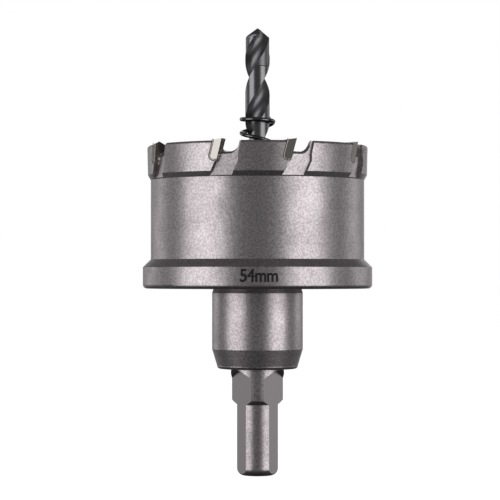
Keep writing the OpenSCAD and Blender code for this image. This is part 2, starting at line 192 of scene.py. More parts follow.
arbor_steel, tree, shader, place = blasted_steel("blasted_arbor_steel", "#D6CED1", "#A0989A", 0.36)
on_flat = None
for angle in FLAT_ANGLES:
    square = (math.cos(math.radians(angle)), math.sin(math.radians(angle)), 0.0)
    along = add_node(tree, "VectorMath", {"operation": "DOT_PRODUCT", 1: square}, {0: place})
    here = add_node(
        tree, "Math",
        {"operation": "COMPARE", 1: FLAT_DISTANCE_MM * MM, 2: FLAT_SLACK_MM * MM},
        {0: along.outputs["Value"]},
    )
    if on_flat:
        here = add_node(
            tree, "Math", {"operation": "MAXIMUM"}, {0: on_flat.outputs[0], 1: here.outputs[0]}
        )
    on_flat = here
stretched = add_node(
    tree, "Mapping", {"Scale": (MILL_STRETCH, MILL_STRETCH, 1.0)}, {"Vector": place}
)
mill_lines = add_node(
    tree, "TexNoise",
    {"Scale": per_metre(MILL_LINE_MM), "Detail": 2.0},
    {"Vector": stretched.outputs["Vector"]},
)
mill_bump = add_node(
    tree, "Bump",
    {"Strength": 0.12, "Distance": MILL_DEPTH_MM * MM},
    {"Height": mill_lines.outputs["Fac"]},
)
blasted_normal = shader.inputs["Normal"].links[0].from_socket
blasted_rough = shader.inputs["Roughness"].links[0].from_socket
blasted_tint = shader.inputs["Base Color"].links[0].from_socket
normal = add_node(
    tree, "Mix", {"data_type": "VECTOR"},
    {0: on_flat.outputs[0], 4: blasted_normal, 5: mill_bump.outputs["Normal"]},
)
rough = add_node(tree, "Mix", {3: FLAT_ROUGHNESS}, {0: on_flat.outputs[0], 2: blasted_rough})
tint = add_node(
    tree, "Mix", {"data_type": "RGBA", 7: from_hex("#ACA6A8")},
    {0: on_flat.outputs[0], 6: blasted_tint},
)
tree.links.new(normal.outputs[1], shader.inputs["Normal"])
tree.links.new(rough.outputs[0], shader.inputs["Roughness"])
tree.links.new(tint.outputs[2], shader.inputs["Base Color"])
print("finish:", arbor_steel.name, "with", len(FLAT_ANGLES), "milled flats")

# %% [markdown]
# ## Ground carbide
#
# The tips are sintered tungsten carbide, ground on every working face with a diamond wheel.
# Carbide is bright and a little creamy where a ground face catches a lamp, and dark where it
# doesn't, because the face is so flat and fine. It is grains of a ceramic in a metal binder, so
# it is a little less than a full metal here, and even its darkest faces scatter some light. The
# wheel leaves faint parallel lines, drawn as noise that is stretched along the tip's height.

# %% Ground carbide
GRIND_LINE_MM = 0.12
GRIND_DEPTH_MM = 0.004
GRIND_STRETCH = 0.06
METAL_SHARE = 0.88

carbide, tree, shader, place = new_material("ground_tungsten_carbide")
stretched = add_node(tree, "Mapping", {"Scale": (1.0, 1.0, GRIND_STRETCH)}, {"Vector": place})
lines = add_node(
    tree, "TexNoise",
    {"Scale": per_metre(GRIND_LINE_MM), "Detail": 2.0, "Roughness": 0.5},
    {"Vector": stretched.outputs["Vector"]},
)
tint = add_node(
    tree, "Mix",
    {"data_type": "RGBA", 6: from_hex("#B4B0AA"), 7: from_hex("#C3C0BA")},
    {0: lines.outputs["Fac"]},
)
fine = add_node(
    tree, "MapRange", {"To Min": 0.07, "To Max": 0.12}, {"Value": lines.outputs["Fac"]}
)
bump = add_node(
    tree, "Bump",
    {"Strength": 0.06, "Distance": GRIND_DEPTH_MM * MM},
    {"Height": lines.outputs["Fac"]},
)
tree.links.new(tint.outputs[2], shader.inputs["Base Color"])
tree.links.new(fine.outputs["Result"], shader.inputs["Roughness"])
tree.links.new(bump.outputs["Normal"], shader.inputs["Normal"])
shader.inputs["Metallic"].default_value = METAL_SHARE
print("finish:", carbide.name)

# %% [markdown]
# ## Blackened steels
#
# The drill is high-speed steel, the spring is spring wire and the screw is alloy steel. All
# three are blackened in a hot salt bath, which turns their skin into a thin layer of dark iron
# oxide. It still reflects like a metal, only about a quarter as much as bare steel, so most of
# it looks black and each lamp shows as a crisp grey streak. Drawn wire is the smoothest. The
# drill was ground before it was blackened, its lands with a fine wheel, and its flutes and the
# cleared band behind each margin with a coarse one. The distance from the axis tells them
# apart, so what lies deeper than the lands gets the duller gloss.

# %% Blackened steels
def blackened_steel(name, light, dark, smooth, rough, grain_mm, bump_mm):
    """Iron oxide over steel: a dark metal with a fine change of gloss."""
    material, tree, shader, place = new_material(name)
    grain = add_node(
        tree, "TexNoise",
        {"Scale": per_metre(grain_mm), "Detail": 3.0, "Roughness": 0.6},
        {"Vector": place},
    )
    tint = add_node(
        tree, "Mix",
        {"data_type": "RGBA", 6: from_hex(dark), 7: from_hex(light)},
        {0: grain.outputs["Fac"]},
    )
    gloss = add_node(
        tree, "MapRange", {"To Min": smooth, "To Max": rough}, {"Value": grain.outputs["Fac"]}
    )
    bump = add_node(
        tree, "Bump", {"Strength": 0.3, "Distance": bump_mm * MM}, {"Height": grain.outputs["Fac"]}
    )
    tree.links.new(tint.outputs[2], shader.inputs["Base Color"])
    tree.links.new(gloss.outputs["Result"], shader.inputs["Roughness"])
    tree.links.new(bump.outputs["Normal"], shader.inputs["Normal"])
    shader.inputs["Metallic"].default_value = 1.0
    return material, tree, shader, place


COARSE_GRIND_R = 2.93
COARSE_ROUGHNESS = 0.4

spring_steel, *_ = blackened_steel(
    "blackened_spring_wire", "#86868A", "#707074", 0.14, 0.2, 0.3, 0.003
)
screw_steel, *_ = blackened_steel(
    "blackened_screw_steel", "#77777C", "#65656A", 0.3, 0.42, 0.3, 0.01
)
drill_steel, tree, shader, place = blackened_steel(
    "blackened_high_speed_steel", "#8E8E90", "#7C7C7E", 0.2, 0.3, 0.5, 0.006
)
across = add_node(tree, "VectorMath", {"operation": "MULTIPLY", 1: (1.0, 1.0, 0.0)}, {0: place})
from_axis = add_node(tree, "VectorMath", {"operation": "LENGTH"}, {0: across.outputs["Vector"]})
ground_coarse = add_node(
    tree, "Math",
    {"operation": "LESS_THAN", 1: COARSE_GRIND_R * MM},
    {0: from_axis.outputs["Value"]},
)
fine_gloss = shader.inputs["Roughness"].links[0].from_socket
gloss = add_node(
    tree, "Mix", {3: COARSE_ROUGHNESS}, {0: ground_coarse.outputs[0], 2: fine_gloss}
)
tree.links.new(gloss.outputs[0], shader.inputs["Roughness"])
print("finishes:", ", ".join(m.name for m in (drill_steel, spring_steel, screw_steel)))

# %% [markdown]
# ## Braze and marking ink
#
# Each tip is held in its seat by bronze braze, which wets the joint, stands a little proud as
# a bead and leaves a brown smear of burnt flux in the fillet before the tip. A noise at half a
# millimetre mixes the bright alloy with the dark flux. A dark matt line beside the bead is painted
# shade, standing for the shadow in the gap at the seat's edge. The size mark is a dull black ink,
# so it and the painted shade are the finishes here that aren't metals.

# %% Braze and marking ink
FLUX_MM = 0.5
FLUX_DEPTH_MM = 0.04
SHADE_GRAIN_MM = 0.4
INK_GRAIN_MM = 0.2

braze, tree, shader, place = new_material("bronze_braze_with_flux")
patches = add_node(
    tree, "TexNoise",
    {"Scale": per_metre(FLUX_MM), "Detail": 3.0, "Roughness": 0.6},
    {"Vector": place},
)
flux = add_node(
    tree, "MapRange", {"From Min": 0.42, "From Max": 0.58}, {"Value": patches.outputs["Fac"]}
)
tint = add_node(
    tree, "Mix",
    {"data_type": "RGBA", 6: from_hex("#5E5051"), 7: from_hex("#CBBDB8")},
    {0: flux.outputs["Result"]},
)
dull = add_node(
    tree, "MapRange", {"To Min": 0.5, "To Max": 0.34}, {"Value": flux.outputs["Result"]}
)
bump = add_node(
    tree, "Bump",
    {"Strength": 0.5, "Distance": FLUX_DEPTH_MM * MM},
    {"Height": patches.outputs["Fac"]},
)
tree.links.new(tint.outputs[2], shader.inputs["Base Color"])
tree.links.new(dull.outputs["Result"], shader.inputs["Roughness"])
tree.links.new(bump.outputs["Normal"], shader.inputs["Normal"])
shader.inputs["Metallic"].default_value = 0.9

bright_braze, _, shader, _ = new_material("bright_bronze_braze")
shader.inputs["Base Color"].default_value = from_hex("#CDC3BB")
shader.inputs["Roughness"].default_value = 0.3
shader.inputs["Metallic"].default_value = 1.0

# A dark matt film with a fine grain: painted shade for the shadow in the gap along each seat's
# edge
painted_seat_shade, tree, shader, place = new_material("dark_matt_painted_shade")
shade_grain = add_node(
    tree, "TexNoise", {"Scale": per_metre(SHADE_GRAIN_MM), "Detail": 3.0}, {"Vector": place}
)
tint = add_node(
    tree, "Mix",
    {"data_type": "RGBA", 6: from_hex("#3E3535"), 7: from_hex("#5C5150")},
    {0: shade_grain.outputs["Fac"]},
)
tree.links.new(tint.outputs[2], shader.inputs["Base Color"])
shader.inputs["Roughness"].default_value = 0.55
shader.inputs["IOR"].default_value = 1.5

ink, tree, shader, place = new_material("black_marking_ink")
grain = add_node(
    tree, "TexNoise", {"Scale": per_metre(INK_GRAIN_MM), "Detail": 2.0}, {"Vector": place}
)
tint = add_node(
    tree, "Mix",
    {"data_type": "RGBA", 6: from_hex("#141213"), 7: from_hex("#242122")},
    {0: grain.outputs["Fac"]},
)
tree.links.new(tint.outputs[2], shader.inputs["Base Color"])
shader.inputs["Roughness"].default_value = 0.6
shader.inputs["IOR"].default_value = 1.5
print("finishes:", ", ".join(m.name for m in (braze, bright_braze, painted_seat_shade, ink)))

# %% [markdown]
# ## Finishes onto the solids
#
# A solid whose shape is already right only needs its material slots filled.

# %% Finishes onto the solids
def dress(node_names, material):
    """Puts one finish into every material slot of the named solids."""
    for name in node_names:
        for slot in nodes[name].material_slots:
            slot.material = material
    print(material.name, "on", len(node_names), "solid(s)")


TEETH = [f"tooth_{i}" for i in range(1, 9)]
dress(["cutter_cup"], cup_steel)
dress(["arbor"], arbor_steel)
dress(TEETH, carbide)
dress(["grub_screw"], screw_steel)

# %% [markdown]
# ## Skinning rings of points
#
# The drill, the spring and the braze are all long shapes with a section that changes along
# the way. Each is a stack of rings with the same number of points, skinned with four-sided
# faces and closed at both ends. Edges that turn sharply are marked sharp, and everything else
# is shaded smooth. Angles round the axis start at the tool's right side, which puts the front,
# where the camera stands, at minus 90 degrees.

# %% Skinning rings of points
FRONT_DEG = -90


def put_in_scene(name, data):
    """Makes an object from its data and links it into the scene."""
    thing = bpy.data.objects.new(name, data)
    bpy.context.scene.collection.objects.link(thing)
    return thing


def finish_piece(name, points, faces, material, sharp_deg):
    """Makes a mesh from points in millimetres and lets it ride on the object."""
    mesh = bpy.data.meshes.new(name)
    mesh.from_pydata([[c * MM for c in p] for p in points], [], faces)
    mesh.shade_smooth()
    mesh.set_sharp_from_angle(angle=math.radians(sharp_deg))
    mesh.materials.append(material)
    piece = put_in_scene(name, mesh)
    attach(piece, "root")
    return piece


def skin(name, rings, material, sharp_deg=35):
    """Skins rings of points into one closed mesh."""
    n = len(rings[0])
    last = (len(rings) - 1) * n
    faces = [
        (k * n + j, k * n + (j + 1) % n, (k + 1) * n + (j + 1) % n, (k + 1) * n + j)
        for k in range(len(rings) - 1)
        for j in range(n)
    ]
    faces.append(tuple(reversed(range(n))))
    faces.append(tuple(range(last, last + n)))
    points = [p for ring in rings for p in ring]
    piece = finish_piece(name, points, faces, material, sharp_deg)
    print(name, "has", len(points), "points and", len(faces), "faces")
    return piece


def around_axis(radius, angle_deg, z):
    """Point at a radius and an angle round the tool's axis."""
    a = math.radians(angle_deg)
    return (radius * math.cos(a), radius * math.sin(a), z)


def steps(start, end, count):
    """Evenly spaced values from start to end."""
    return [start + (end - start) * i / count for i in range(count + 1)]


# %% [markdown]
# ## The pilot drill
#
# A twist drill is a round rod with two helical flutes ground into it. What is left between
# them are two lands, joined by a thin web, and the ground end makes a 118 degree point with
# two cutting lips. It could be cut from a cylinder with booleans along a helix, which is slow
# and leaves ragged edges. Since every section is the same shape, only turned, it is simpler
# to write the radius of one section as a function of the angle and to stack turned sections.

# %% Sizes of the drill
DRILL_R = 3.0
DRILL_FOOT_Z = 29.5
FOOT_CHAMFER = 0.5
POINT_Z = 109.25
FLUTE_LEN = 50.0
FLUTE_Z = POINT_Z - FLUTE_LEN
FLUTE_LEAD = 29.0
RUN_OUT = 9.0
BACK_TAPER = 0.02
LAND_HALF_DEG = 41.0
LAND_START_DEG = 150 + FRONT_DEG
WEB_R = 0.9
MARGIN_DEG = 10.0
MARGIN_STEP_DEG = 0.1
RELIEF = 0.12
RELIEF_LEN = 9.5
POINT_HALF = math.radians(59)
LIP_RELIEF = math.radians(5)
HEEL_DROP = 0.6
SCREW_Z = 39.7
SCREW_FLAT_R = 2.6
SCREW_FLAT_H = 7.0
SCREW_DEG = -98.5 + FRONT_DEG

flute_half = math.radians(90 - LAND_HALF_DEG)
edge_along = DRILL_R * math.sin(flute_half)
sag = DRILL_R * math.cos(flute_half) - WEB_R
FLUTE_R = (edge_along ** 2 + sag ** 2) / (2 * sag)
print("a flute is hollowed by a circle of radius", round(FLUTE_R, 2), "mm")

# %% [markdown]
# ## One section of the drill
#
# Along a land the radius is the drill's own, less a hair of back taper. Behind a narrow margin
# the land is ground a little deeper near the point, so that it doesn't rub in the hole. Between
# the lands the radius follows the flute's circle. Near the flute's lower end that circle moves
# outwards, which makes the flute run out.

# %% One section of the drill
MARGIN_FROM_DEG = LAND_HALF_DEG - MARGIN_DEG


def folded(angle):
    """Angle from the middle of the nearer land, the same for both halves."""
    return angle - 180 if angle > 180 - LAND_HALF_DEG else angle


def drill_radius(angle, z):
    """Radius of the drill at an angle from its land, and a height."""
    off_land = folded(angle)
    if z < FLUTE_Z:
        return DRILL_R
    body = DRILL_R - BACK_TAPER * (POINT_Z - z) / FLUTE_LEN
    if off_land <= LAND_HALF_DEG:
        behind_margin = off_land < MARGIN_FROM_DEG - MARGIN_STEP_DEG
        return body - RELIEF if behind_margin and z > POINT_Z - RELIEF_LEN else body
    fade = max(0.0, 1 - (z - FLUTE_Z) / RUN_OUT)
    far = WEB_R + FLUTE_R + fade ** 2 * (DRILL_R - WEB_R)
    off = math.radians(off_land - 90)
    reach = FLUTE_R ** 2 - (far * math.sin(off)) ** 2
    return min(body, far * math.cos(off) - math.sqrt(reach)) if reach > 0 else body


BAND_STEPS = steps(-LAND_HALF_DEG, MARGIN_FROM_DEG - 5 * MARGIN_STEP_DEG, 12)
BAND_END = [MARGIN_FROM_DEG - 2 * MARGIN_STEP_DEG]
MARGIN_STEPS = steps(MARGIN_FROM_DEG, LAND_HALF_DEG, 4)
FLUTE_STEPS = steps(LAND_HALF_DEG, 180 - LAND_HALF_DEG, 28)[1:-1]
HALF_SECTION = BAND_STEPS + BAND_END + MARGIN_STEPS + FLUTE_STEPS
SECTION = [a + half for half in (0, 180) for a in HALF_SECTION]
print("one section has", len(SECTION), "points")

# %% [markdown]
# ## Stacking the sections
#
# Each ring is the same section, turned by its height, so the flutes wind up the drill. On the
# shank the grub screw presses on a ground flat, which cuts the rings there straight. The point
# is made of rings too: they shrink to the axis along the cone, and fall away behind each lip,
# as a ground point does.

# %% Stack the sections
HAIR = 0.001
BODY_RINGS = 260
POINT_SHARES = (1.0, 0.97, 0.9, 0.8, 0.7, 0.6, 0.5, 0.4, 0.3, 0.2, 0.1, 0.02)
# Across a flute, the next lip's relief starts at this angle from the land and fades in so far
NEXT_LIP_DEG, FADE_DEG = 95, 20


def turn_at(z):
    """Angle of the first land's middle at a height."""
    return LAND_START_DEG + 360 * (max(z, FLUTE_Z) - POINT_Z) / FLUTE_LEAD


def body_ring(z, on_flat=False, shrink=0.0):
    """One ring of the drill's body, cut straight where the grub screw presses."""
    ring = []
    for angle in SECTION:
        r = drill_radius(angle, z) - shrink
        facing = math.cos(math.radians(angle + turn_at(z) - SCREW_DEG))
        if on_flat and facing > 0:
            r = min(r, SCREW_FLAT_R / facing)
        ring.append(around_axis(r, angle + turn_at(z), z))
    return ring


def point_ring(share):
    """One ring of the ground point, at a share of the section's radius."""
    ring = []
    for angle in SECTION:
        a = folded(angle)
        r = drill_radius(angle, POINT_Z) * share
        on_land = a <= LAND_HALF_DEG
        behind = LAND_HALF_DEG - a + (0 if on_land else 180)
        slope = 1.0 if on_land else min(1.0, max(0.0, (a - NEXT_LIP_DEG) / FADE_DEG))
        fall = slope * r * math.radians(behind) * math.tan(LIP_RELIEF)
        z = POINT_Z - r / math.tan(POINT_HALF) - fall
        ring.append(around_axis(r, angle + turn_at(POINT_Z), z))
    return ring


flat_low, flat_high = SCREW_Z - SCREW_FLAT_H / 2, SCREW_Z + SCREW_FLAT_H / 2
top_ring_z = POINT_Z - DRILL_R / math.tan(POINT_HALF) - HEEL_DROP
drill_rings = [body_ring(DRILL_FOOT_Z, shrink=FOOT_CHAMFER)]
drill_rings += [body_ring(DRILL_FOOT_Z + FOOT_CHAMFER)]
drill_rings += [body_ring(flat_low), body_ring(flat_low + HAIR, True)]
drill_rings += [body_ring(flat_high - HAIR, True), body_ring(flat_high)]
drill_rings += [body_ring(z) for z in steps(FLUTE_Z - 1, top_ring_z, BODY_RINGS)]
drill_rings += [point_ring(share) for share in POINT_SHARES]
drill = skin("pilot_drill_ground", drill_rings, drill_steel, 30)
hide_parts("pilot_drill")

# %% [markdown]
# ## The ejector spring
#
# The spring is one wire, coiled left-handed round the drill, with a closed turn at each end
# so that it stands square. It pushes the cut disc out of the cup. A bevelled curve would do,
# but a skinned tube keeps the exact path of the solid that it stands for, and its ends can be
# closed and rounded.

# %% The ejector spring
WIRE_R = 0.525
COIL_R = 3.875
COIL_TOP_Z = 87.325
COIL_LEN = 34.8
COIL_PITCH = 5.6
COIL_END_DEG = 130 + FRONT_DEG
CLOSED_TURN = 0.88
OPEN_TURNS = (COIL_LEN - 2 * WIRE_R * (1 + 2 * CLOSED_TURN)) / COIL_PITCH
RINGS_PER_TURN = 48
WIRE_SIDES = 18
# The wire's ends are rounded off to this radius over this part of a turn
END_R = 0.75 * WIRE_R
END_TURN = 0.003


def coil_drop(turn):
    """How far the wire has come down after this many turns."""
    closed = min(turn, CLOSED_TURN) + max(0, turn - CLOSED_TURN - OPEN_TURNS)
    return closed * 2 * WIRE_R + max(0, min(turn - CLOSED_TURN, OPEN_TURNS)) * COIL_PITCH


def wire_ring(turn, radius):
    """One round section of the wire, in the plane through the tool's axis."""
    angle = COIL_END_DEG + 360 * turn
    z = COIL_TOP_Z - coil_drop(turn)
    sides = [2 * math.pi * k / WIRE_SIDES for k in range(WIRE_SIDES)]
    return [
        around_axis(COIL_R + radius * math.cos(s), angle, z + radius * math.sin(s)) for s in sides
    ]


turns = OPEN_TURNS + 2 * CLOSED_TURN
coil = steps(0, turns, round(turns * RINGS_PER_TURN))
spring_rings = [wire_ring(0.0, END_R)]
spring_rings += [wire_ring(t, WIRE_R) for t in [END_TURN] + coil[1:-1] + [turns - END_TURN]]
spring_rings += [wire_ring(turns, END_R)]
spring = skin("ejector_spring_wire", spring_rings, spring_steel, 50)
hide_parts("ejector_spring")

# %% [markdown]
# ## Braze round the tips
#
# Every tip leans 15 degrees in its seat. Braze shows as a thin bead along the back of the seat
# and round its foot, with a dark line of painted shade beside it for the shadow in the gap at the
# seat's edge. In front of the tip it is a hollow fillet, first across the gullet's floor and then
# down the corner of the chip groove.
# All of them follow lines that are straight or round in the flat view of a tip, so they are
# worked out there and then laid on the head. A seeded random wobble keeps them from looking
# moulded.

# %% Sizes round a tip
TIP_ANGLES = (-154, -108, -70, -27, 26, 72, 110, 153)
EDGE_Z = 80.8
RIM_Z = 80.25
RAKE = math.radians(15)
TIP_T = 2.1
TIP_H = 5.2
TIP_IN_R = 23.95
SLAB_LEN = (TIP_H - TIP_T / 2 * (1 - math.sin(RAKE))) / math.cos(RAKE)
HEAD_R = 26.9
HEAD_TOP_Z = RIM_Z - 0.7
HEAD_FOOT_R = 26.75
HEAD_FOOT_Z = 73.15
GROOVE_X = 25.75
GULLET_Z = 77.1
GULLET_FALL = math.radians(33)


def leaned(across, down):
    """Tangent and height of a point of the leaning tip: behind its face, and down along it."""
    y = across * math.cos(RAKE) - down * math.sin(RAKE)
    z = EDGE_Z - across * math.sin(RAKE) - down * math.cos(RAKE)
    return y, z


def head_radius(z):
    """Outer radius of the cup's head at a height."""
    share = (z - HEAD_FOOT_Z) / (HEAD_TOP_Z - HEAD_FOOT_Z)
    return HEAD_FOOT_R + (HEAD_R - HEAD_FOOT_R) * min(1.0, share)


def on_tool(tip_deg, x, y, z):
    """A point of a tip's own frame, radial, forward and up, placed on the tool."""
    a = math.radians(tip_deg)
    return (x * math.cos(a) - y * math.sin(a), x * math.sin(a) + y * math.cos(a), z)


print("a tip's slab is", round(SLAB_LEN, 2), "mm long above its round foot")

# %% [markdown]
# ## The bead along a seat
#
# A bead is a round rod that follows the seat's edge and sinks into the head for half its
# thickness. The bright bead lies just inside the edge and the dark line of painted shade just
# outside it, so one function makes both.

# %% The bead along a seat
BEAD_TOP = 0.75
BEAD_END_DEG = 338
BEAD_SIDES = 10
BEAD_SUNK = 0.01


def seat_line():
    """The seat's edge on the head: down behind the tip and round its foot."""
    line = [leaned(-TIP_T, down) for down in steps(BEAD_TOP, SLAB_LEN, 14)]
    for turn in steps(180, BEAD_END_DEG, 18)[1:]:
        a = math.radians(turn)
        across = -TIP_T / 2 + TIP_T / 2 * math.cos(a)
        line.append(leaned(across, SLAB_LEN - TIP_T / 2 * math.sin(a)))
    return line


def bead_rings(tip_deg, wobble, inside, wide, proud):
    """Rings along the seat's edge, shifted inside it: so wide and so proud, in millimetres."""
    line = seat_line()
    rings = []
    for k, (y, z) in enumerate(line):
        before, after = line[max(0, k - 1)], line[min(len(line) - 1, k + 1)]
        dy, dz = after[0] - before[0], after[1] - before[1]
        length = math.hypot(dy, dz)
        side = (-dz / length, dy / length)
        taper = min(1.0, 0.35 + 0.4 * min(k, len(line) - 1 - k))
        size = taper * wobble.uniform(0.85, 1.15)
        x = math.sqrt(head_radius(z) ** 2 - y ** 2) - max(0.0, inside) - BEAD_SUNK
        ring = []
        for b in (2 * math.pi * j / BEAD_SIDES for j in range(BEAD_SIDES)):
            across = inside + wide / 2 * size * math.cos(b)
            out = proud * size * math.sin(b)
            ring.append(on_tool(tip_deg, x + out, y + side[0] * across, z + side[1] * across))
        rings.append(ring)
    return rings


# %% [markdown]
# ## The fillet in front of a tip
#
# Where a tip's face meets the gullet's floor, the molten braze drew itself into the corner and
# set with a hollow front. Its section is a small triangle with a curved long side, and it swells
# and thins along the corner as a drop of solder does.

# %% The fillet in front of a tip
FILLET_FOOT_Z = 75.3
FILLET_START = 0.1
FILLET_UP = 0.7
FILLET_AHEAD = 0.6


def fillet_path():
    """Corner line in front of a tip, as radius, height and the way out of the corner."""
    along = (math.cos(GULLET_FALL), -math.sin(GULLET_FALL))
    floor_len = (GROOVE_X - TIP_IN_R - FILLET_START) / along[0]
    path = []
    for s in steps(floor_len, 0, 8):
        # The last point of the floor looks halfway towards the groove
        turn = 0.5 if s == 0 else 0.0
        out = Vector((-along[1] + turn, along[0] - turn * 0.8)).normalized()
        path.append((GROOVE_X - s * along[0], GULLET_Z - s * along[1], out))
    for z in steps(GULLET_Z, FILLET_FOOT_Z, 8)[1:]:
        path.append((GROOVE_X, z, Vector((1.0, 0.0))))
    return path


def fillet_rings(tip_deg, wobble):
    """Rings of the hollow fillet between a tip's face and the floors before it."""
    rings = []
    path = fillet_path()
    for k, (x, z, out) in enumerate(path):
        share = k / (len(path) - 1)
        swell = math.sin(math.pi * (0.1 + share * 0.82)) ** 0.6
        up_face = FILLET_UP * swell * wobble.uniform(0.8, 1.15)
        on_floor = FILLET_AHEAD * swell * wobble.uniform(0.8, 1.15)
        corner = [
            (-0.08, -0.1),
            (up_face, -0.05),
            (0.62 * up_face, 0.1 * on_floor),
            (0.3 * up_face, 0.3 * on_floor),
            (0.1 * up_face, 0.62 * on_floor),
            (-0.05, on_floor),
        ]
        ring = []
        for rise, ahead in corner:
            z_here = z + out.y * rise
            face = (z_here - EDGE_Z) * math.tan(RAKE)
            ring.append(on_tool(tip_deg, x + out.x * rise, face + ahead, z_here))
        rings.append(ring)
    return rings


# %% [markdown]
# ## Braze on all eight tips
#
# The same three pieces go round every tip. The wobble is drawn from one seeded generator in
# a fixed order, so every tip looks a little different and every run gives the same braze.

# %% Braze on all eight tips
WOBBLE_SEED = 11
BRAZE_SHARP_DEG = 60
# How far inside the seat's edge a bead lies, how wide it is and how proud it stands
BEAD = (0.12, 0.28, 0.1)
# The dark line of painted shade, standing for the shadow in the gap just outside the seat's edge
PAINTED_SHADE_LINE = (-0.07, 0.2, 0.03)

wobble = random.Random(WOBBLE_SEED)
for number, tip_deg in enumerate(TIP_ANGLES, 1):
    bead, painted_shade_line = bead_rings(tip_deg, wobble, *BEAD), bead_rings(tip_deg, wobble, *PAINTED_SHADE_LINE)
    skin(f"braze_bead_{number}", bead, bright_braze, BRAZE_SHARP_DEG)
    skin(f"painted_shade_line_{number}", painted_shade_line, painted_seat_shade, BRAZE_SHARP_DEG)
    skin(f"braze_fillet_{number}", fillet_rings(tip_deg, wobble), braze, BRAZE_SHARP_DEG)

# %% [markdown]
# ## The size mark
#
# The flange carries the saw's cutting diameter in millimetres, printed in black. It is the
# plain number and unit that any saw of this size has. A texture could draw it, but a mark made
# of geometry stays sharp at any distance, so it starts as a text object, is sliced into narrow
# strips so that it can bend, and is wrapped round the flange as a film of ink.

# %% The size mark
FLANGE_R = 28.0
INK_PROUD = 0.0015
INK_DEPTH = 0.03
MARK_W = 8.7
MARK_H = 2.95
MARK_Z = 48.77
MARK_SHIFT = 0.35
LETTER_SPACING = 0.95
MERGE_MM = 0.002
BOLDER = 0.1
STRIP_MM = 0.3


def embolden(outline, by):
    """Moves a flat outline outwards all round, as a thicker pen would draw it."""
    pulls = {}
    for edge in [e for e in outline.edges if e.is_boundary]:
        a, b = edge.verts
        along = (b.co - a.co).normalized()
        out = Vector((along.y, -along.x, 0))
        if out.dot(edge.link_faces[0].calc_center_median() - a.co) > 0:
            out.negate()
        pulls.setdefault(a, []).append(out)
        pulls.setdefault(b, []).append(out)
    for v, outs in pulls.items():
        v.co += (outs[0] + outs[-1]) * by / max(0.5, 1 + outs[0].dot(outs[-1]))


words = bpy.data.curves.new("size_mark_outline", "FONT")
words.body = "54mm"
words.space_character = LETTER_SPACING
carrier = put_in_scene("size_mark_outline", words)
bpy.context.view_layer.update()
flat_mark = carrier.to_mesh()
mark_mesh = bmesh.new()
mark_mesh.from_mesh(flat_mark)
carrier.to_mesh_clear()
bpy.data.objects.remove(carrier)
bpy.data.curves.remove(words)

# Fit the outline to its size, join its points where triangles meet, and thicken its strokes
xs = [v.co.x for v in mark_mesh.verts]
ys = [v.co.y for v in mark_mesh.verts]
wide, high = max(xs) - min(xs), max(ys) - min(ys)
for v in mark_mesh.verts:
    v.co.x = ((v.co.x - min(xs)) / wide - 0.5) * MARK_W
    v.co.y = ((v.co.y - min(ys)) / high - 0.5) * MARK_H
bmesh.ops.remove_doubles(mark_mesh, verts=mark_mesh.verts, dist=MERGE_MM)
embolden(mark_mesh, BOLDER)
# Slice it into strips, pull a front out of it, and wrap both round the flange
for x in steps(-MARK_W / 2, MARK_W / 2, round(MARK_W / STRIP_MM))[1:-1]:
    everything = mark_mesh.verts[:] + mark_mesh.edges[:] + mark_mesh.faces[:]
    bmesh.ops.bisect_plane(mark_mesh, geom=everything, plane_co=(x, 0, 0), plane_no=(1, 0, 0))
front = bmesh.ops.extrude_face_region(mark_mesh, geom=mark_mesh.faces[:])
front_verts = {v for v in front["geom"] if isinstance(v, bmesh.types.BMVert)}
for v in mark_mesh.verts:
    radius = FLANGE_R + (INK_PROUD if v in front_verts else -INK_DEPTH)
    angle = FRONT_DEG + math.degrees((v.co.x + MARK_SHIFT) / FLANGE_R)
    v.co = Vector(around_axis(radius, angle, MARK_Z + v.co.y)) * MM
bmesh.ops.recalc_face_normals(mark_mesh, faces=mark_mesh.faces)
mark_data = bpy.data.meshes.new("size_mark")
mark_mesh.to_mesh(mark_data)
mark_mesh.free()
mark_data.materials.append(ink)
size_mark = put_in_scene("size_mark", mark_data)
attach(size_mark, "root")
print("size mark:", len(mark_data.polygons), "faces")

# %% [markdown]
# ## The studio
#
# Round metal shows its surroundings far more than its own colour, so the studio is most of
# the look. Two tall soft boxes stand to the left and right of the camera and draw the two
# bright bands down every cylinder. It is dark above, below and beside the camera, which gives
# the dark middle and the dark chamfers, and a white backdrop behind the tool lights the very
# edges. The backdrop is part of the world: the camera sees it everywhere, and metal sees it
# where it stands, behind the tool.

# %% The world: dark front, grey sides, white backdrop
BACKDROP_TURN_DEG = 3
BACKDROP_EDGE = 0.009

scene = bpy.context.scene
world = bpy.data.worlds.new("studio")
scene.world = world
world.use_nodes = True
tree = world.node_tree
tree.nodes.clear()
direction = add_node(tree, "TexCoord").outputs["Generated"]
parts = add_node(tree, "SeparateXYZ", links={"Vector": direction})
level = add_node(
    tree, "VectorMath", {"operation": "MULTIPLY", 1: (1.0, 1.0, 0.0)}, {0: direction}
)
heading = add_node(tree, "VectorMath", {"operation": "NORMALIZE"}, {0: level.outputs["Vector"]})
# The backdrop stands a little to the right of straight behind the tool
turn = math.radians(BACKDROP_TURN_DEG)
backward = add_node(
    tree, "VectorMath",
    {"operation": "DOT_PRODUCT", 1: (math.sin(turn), math.cos(turn), 0.0)},
    {0: heading.outputs["Vector"]},
)
# 0 at the middle of the backdrop, 1 opposite it, behind the camera
frontness = add_node(
    tree, "MapRange", {"From Min": 1.0, "From Max": -1.0}, {"Value": backward.outputs["Value"]}
)
# 0 straight down, 1 straight up
height = add_node(tree, "MapRange", {"From Min": -1.0}, {"Value": parts.outputs["Z"]})


def set_stops(ramp, stops):
    """Gives a colour ramp its grey stops, each a place and a level."""
    while len(ramp.elements) < len(stops):
        ramp.elements.new(0.5)
    for element, (position, value) in zip(ramp.elements, stops):
        element.position = position
        element.color = (value, value, value, 1.0)


